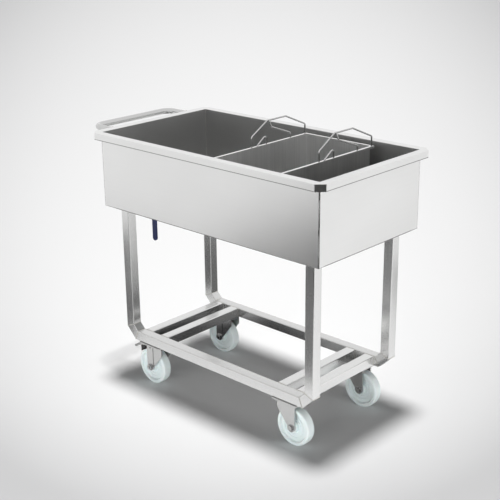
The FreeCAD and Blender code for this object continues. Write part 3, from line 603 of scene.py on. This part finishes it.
class TROLLEY_OT_tub_seams(bpy.types.Operator):
    """Seams and folded edges of the tub, and the welds where the push handle meets the rim"""
    bl_idname = "trolley.tub_seams"
    bl_label = "Tub Seams"

    def execute(self, context):
        metal = weld_metal("tub_weld")
        low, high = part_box("tub_shell")
        self.make_seams(low, high, metal)
        self.make_edges(low, high)
        self.make_collars(low, metal)
        return {"FINISHED"}

    def make_seams(self, low, high, metal):
        """Seams inside the tub, up its corners and round its floor."""
        seam = welds().seam
        inset = FLANGE + SHEET
        xs = (low[0] + inset, high[0] - inset)
        ys = (low[1] + inset, high[1] - inset)
        floor = low[2] + SHEET
        mesh = bmesh.new()
        for x in xs:
            for y in ys:
                add_bead(mesh, (x, y, floor), (x, y, high[2] - 2 * SHEET), seam)
        add_rectangle(mesh, xs, ys, floor, seam)
        piece("tub_corner_seams", mesh, "trolley", metal)

    def make_edges(self, low, high):
        """Rounded edges of the skirt and the tub's floor, and the folded corners, all coloured dark as
        painted shade lines.
        """
        # Painted shade: these edge strips are coloured dark to stand in for the shade line under the
        # skirt and round the tub's floor.
        dark = satin_steel("fold_edge_painted_shade", even(300), -0.1, 0.4, 12)
        x_low, x_high = low[0] + FOLD_RADIUS, high[0] - FOLD_RADIUS
        y_low, y_high = low[1] + FOLD_RADIUS, high[1] - FOLD_RADIUS
        mesh = bmesh.new()
        add_loop(mesh, [
            (x_low + CORNER_CUT, y_low), (x_high - CORNER_CUT, y_low),
            (x_high, y_low + CORNER_CUT), (x_high, y_high - CORNER_CUT),
            (x_high - CORNER_CUT, y_high), (x_low + CORNER_CUT, y_high),
            (x_low, y_high - CORNER_CUT), (x_low, y_low + CORNER_CUT),
        ], high[2] - SKIRT + FOLD_RADIUS, FOLD_RADIUS)
        piece("skirt_edge", mesh, "trolley", dark)
        x_low, x_high = low[0] + FLANGE, high[0] - FLANGE
        y_low, y_high = low[1] + FLANGE, high[1] - FLANGE
        mesh = bmesh.new()
        corners = [(x_low, y_low), (x_high, y_low), (x_high, y_high), (x_low, y_high)]
        add_loop(mesh, corners, low[2] + FOLD_RADIUS, FOLD_RADIUS)
        piece("floor_fold_edge", mesh, "trolley", dark)
        mesh = bmesh.new()
        for x in (x_low + BEND, x_high - BEND):
            for y in (y_low + BEND, y_high - BEND):
                outward = (math.copysign(1, x), math.copysign(1, y))
                add_fold(mesh, (x, y), outward, BEND, (low[2] + BEND / 4, high[2] - SKIRT))
        # Painted shade: the corner strips are coloured dark to stand in for the dark line in each corner
        # bend.
        corner = satin_steel("corner_painted_shade", (300, 300, 4), -0.16, 0.3, 4)
        piece("folded_corners", mesh, "trolley", corner)

    def make_collars(self, rim_low, metal):
        """A collar of weld round each end of the push handle."""
        low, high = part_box("push_handle")
        radius = (high[2] - low[2]) / 2
        z = (low[2] + high[2]) / 2
        mesh = bmesh.new()
        for y in (low[1] + radius, high[1] - radius):
            add_ring(
                mesh, (rim_low[0], y, z), (-1, 0, 0), radius + COLLAR_PROUD, radius - COLLAR_SUNK,
                COLLAR_HEIGHT, COLLAR_BEVEL)
        piece("push_handle_welds", mesh, "trolley", metal)


class TROLLEY_OT_castor_details(bpy.types.Operator):
    """Hub rings and axle washers of the four castors"""
    bl_idname = "trolley.castor_details"
    bl_label = "Castor Details"

    def execute(self, context):
        steel = satin_steel("washer_steel", even(300), -0.06, 0.5, 12)
        nylon = wheel_nylon("hub_nylon")
        for side, end in CORNERS:
            low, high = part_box(f"wheel_{side}_{end}")
            x, y, z = ((a + b) / 2 for a, b in zip(low, high))
            radius = (high[2] - low[2]) / 2
            face = (high[1] - low[1]) / 2 * HUB_FACE
            rings = bmesh.new()
            for way in (-1, 1):
                for outer, inner, height, bevel in HUB_RINGS:
                    add_ring(
                        rings, (x, y + way * face, z), (0, way, 0), radius * outer, radius * inner,
                        height, bevel)
            piece(f"hub_rings_{side}_{end}", rings, f"wheel_{side}_{end}", nylon)
            fork_low, fork_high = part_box(f"fork_{side}_{end}")
            washers = bmesh.new()
            for way, face_y in ((-1, fork_low[1]), (1, fork_high[1])):
                add_ring(washers, (x, face_y, z), (0, way, 0), *AXLE_WASHER)
            piece(f"axle_washers_{side}_{end}", washers, f"castor_{side}_{end}", steel)
        return {"FINISHED"}


class TROLLEY_OT_stage(bpy.types.Operator):
    """Pale floor, soft lamps and the camera"""
    bl_idname = "trolley.stage"
    bl_label = "Stage"

    def execute(self, context):
        scene = context.scene
        scene.view_settings.view_transform = "Standard"
        self.make_camera(scene)
        self.make_floor(scene)
        self.make_world(scene)
        self.make_sun(scene)
        for name, place, size, power in LAMPS:
            self.make_lamp(scene, name, place, size, power)
        for name, place, size, facing, turn, grey in CARDS:
            self.make_card(scene, name, place, size, facing, math.radians(turn), grey)
        return {"FINISHED"}

    def add_plane(self, scene, name, size, placing):
        """A flat square, which isn't part of the trolley."""
        mesh = bmesh.new()
        bmesh.ops.create_grid(mesh, x_segments=1, y_segments=1, size=size, matrix=placing)
        data = bpy.data.meshes.new(name)
        mesh.to_mesh(data)
        mesh.free()
        plane = bpy.data.objects.new(name, data)
        scene.collection.objects.link(plane)
        return plane

    def make_sun(self, scene):
        """The overhead light: far away, so that the shadow lies straight below the tub."""
        data = bpy.data.lights.new("top_light", "SUN")
        data.energy = SUN_STRENGTH
        data.angle = math.radians(SUN_ANGLE)
        lamp = bpy.data.objects.new("top_light", data)
        lamp.location = (0, 0, SUN_HEIGHT)
        lamp.visible_glossy = False
        scene.collection.objects.link(lamp)

    def make_lamp(self, scene, name, place, size, power):
        """A soft lamp that the metal doesn't show."""
        data = bpy.data.lights.new(name, "AREA")
        data.shape = "RECTANGLE"
        data.size, data.size_y = size
        data.energy = power
        lamp = bpy.data.objects.new(name, data)
        scene.collection.objects.link(lamp)
        lamp.visible_glossy = False
        aim = Vector(LAMP_AIM) - Vector(place)
        turn = aim.to_track_quat("-Z", "Y").to_matrix().to_4x4()
        lamp.matrix_world = Matrix.Translation(place) @ turn

    def make_card(self, scene, name, place, size, facing, turn, grey):
        """A dark card that only shows in the metal."""
        shape = Matrix.Rotation(turn, 4, "Z") @ Matrix.Diagonal((*size, 1, 1))
        card = self.add_plane(scene, name, 0.5, tilted(facing, place) @ shape)
        surface = Surface(f"{name}_paper")
        surface.put(Base_Color=(grey, grey, grey, 1), Roughness=0.9, Specular_IOR_Level=0.0)
        card.data.materials.append(surface.material)
        card.visible_camera = False
        card.visible_diffuse = False
        card.visible_shadow = False

    def make_camera(self, scene):
        stage = scene.trolley_stage
        data = bpy.data.cameras.new("studio_camera")
        data.lens = stage.lens
        data.sensor_width = SENSOR_WIDTH
        data.clip_end = 200
        camera = bpy.data.objects.new("studio_camera", data)
        scene.collection.objects.link(camera)
        az, el = stage.azimuth, stage.elevation
        back = Vector((math.sin(az) * math.cos(el), -math.cos(az) * math.cos(el), math.sin(el)))
        right = Vector((0, 0, 1)).cross(back).normalized()
        up = back.cross(right)
        side = right * math.cos(stage.roll) + up * math.sin(stage.roll)
        top = up * math.cos(stage.roll) - right * math.sin(stage.roll)
        turn = Matrix((side, top, back)).transposed().to_4x4()
        camera.matrix_world = Matrix.Translation(stage.place) @ turn
        scene.camera = camera

    def make_floor(self, scene):
        """White paper with a painted fall-off of light to grey towards the edges of the photo's frame.
        """
        floor = self.add_plane(scene, "studio_floor", FLOOR_REACH, Matrix())
        surface = Surface("studio_paper")
        eye = Vector(scene.trolley_stage.place)
        aside, upward, back = (scene.camera.matrix_world.to_3x3().col[i] for i in range(3))
        depth = eye.dot(back) - surface.along(back)
        across = (surface.along(aside) - eye.dot(aside)) / depth
        rise = (surface.along(upward) - eye.dot(upward)) / depth
        reach = (across * across + rise * rise).root() / HALF_VIEW
        foot = rise.at_most(0)
        fall = reach * reach * reach * EDGE_FALL + foot * foot * FOOT_FALL
        framed = surface.add(
            "ShaderNodeMapRange", {"interpolation_type": "SMOOTHSTEP"},
            depth, FALL_FROM, FALL_WHOLE, 0.0, 1.0)
        seen = surface.add("ShaderNodeLightPath", {}, output="Is Camera Ray")
        # Painted light: the floor greys towards the frame's edges and foot as a painted fall-off of
        # light, for camera rays only.
        fade = fall.eased_to(MOST_FALL, FALL_EASE) * framed * seen
        surface.put(
            Base_Color=surface.blend(fade, (0.98, 0.98, 0.98, 1), (0, 0, 0.01, 1)),
            Roughness=0.9, Specular_IOR_Level=0.05)
        floor.data.materials.append(surface.material)

    def make_world(self, scene):
        """Plain ambient light, with a white surround for what the metal shows."""
        world = bpy.data.worlds.new("studio_light")
        world.use_nodes = True
        nodes = Nodes(world.node_tree)
        seen = nodes.add("ShaderNodeLightPath", {}, output="Is Camera Ray")
        mirrored = nodes.add("ShaderNodeLightPath", {}, output="Is Glossy Ray")
        nodes.fill(world.node_tree.nodes["Background"], {
            "Color": (1, 1, 1, 1),
            "Strength": AMBIENT + seen * SURROUND + mirrored * MIRRORED,
        })
        scene.world = world


PARTS = (
    TROLLEY_OT_finish, TROLLEY_OT_frame_welds, TROLLEY_OT_tub_seams, TROLLEY_OT_castor_details,
    TROLLEY_OT_stage,
)
GROUPS = {
    "trolley_finish": TrolleyFinish,
    "trolley_welds": TrolleyWelds,
    "trolley_stage": TrolleyStage,
}


class VIEW3D_PT_trolley(bpy.types.Panel):
    """Lists the trolley's makers and their sizes"""
    bl_label = "Trolley"
    bl_space_type = "VIEW_3D"
    bl_region_type = "UI"
    bl_category = "Trolley"

    def draw(self, context):
        for key, group in GROUPS.items():
            box = self.layout.box()
            for field in group.__annotations__:
                box.prop(getattr(context.scene, key), field)
        for part in PARTS:
            self.layout.operator(part.bl_idname)


def register():
    for group in (*GROUPS.values(), *PARTS, VIEW3D_PT_trolley):
        bpy.utils.register_class(group)
    for key, group in GROUPS.items():
        setattr(bpy.types.Scene, key, bpy.props.PointerProperty(type=group))


def unregister():
    for key in GROUPS:
        delattr(bpy.types.Scene, key)
    for group in reversed((*GROUPS.values(), *PARTS, VIEW3D_PT_trolley)):
        bpy.utils.unregister_class(group)


def main():
    register()
    for part in PARTS:
        category, name = part.bl_idname.split(".")
        getattr(getattr(bpy.ops, category), name)()


if __name__ == "__main__":
    main()
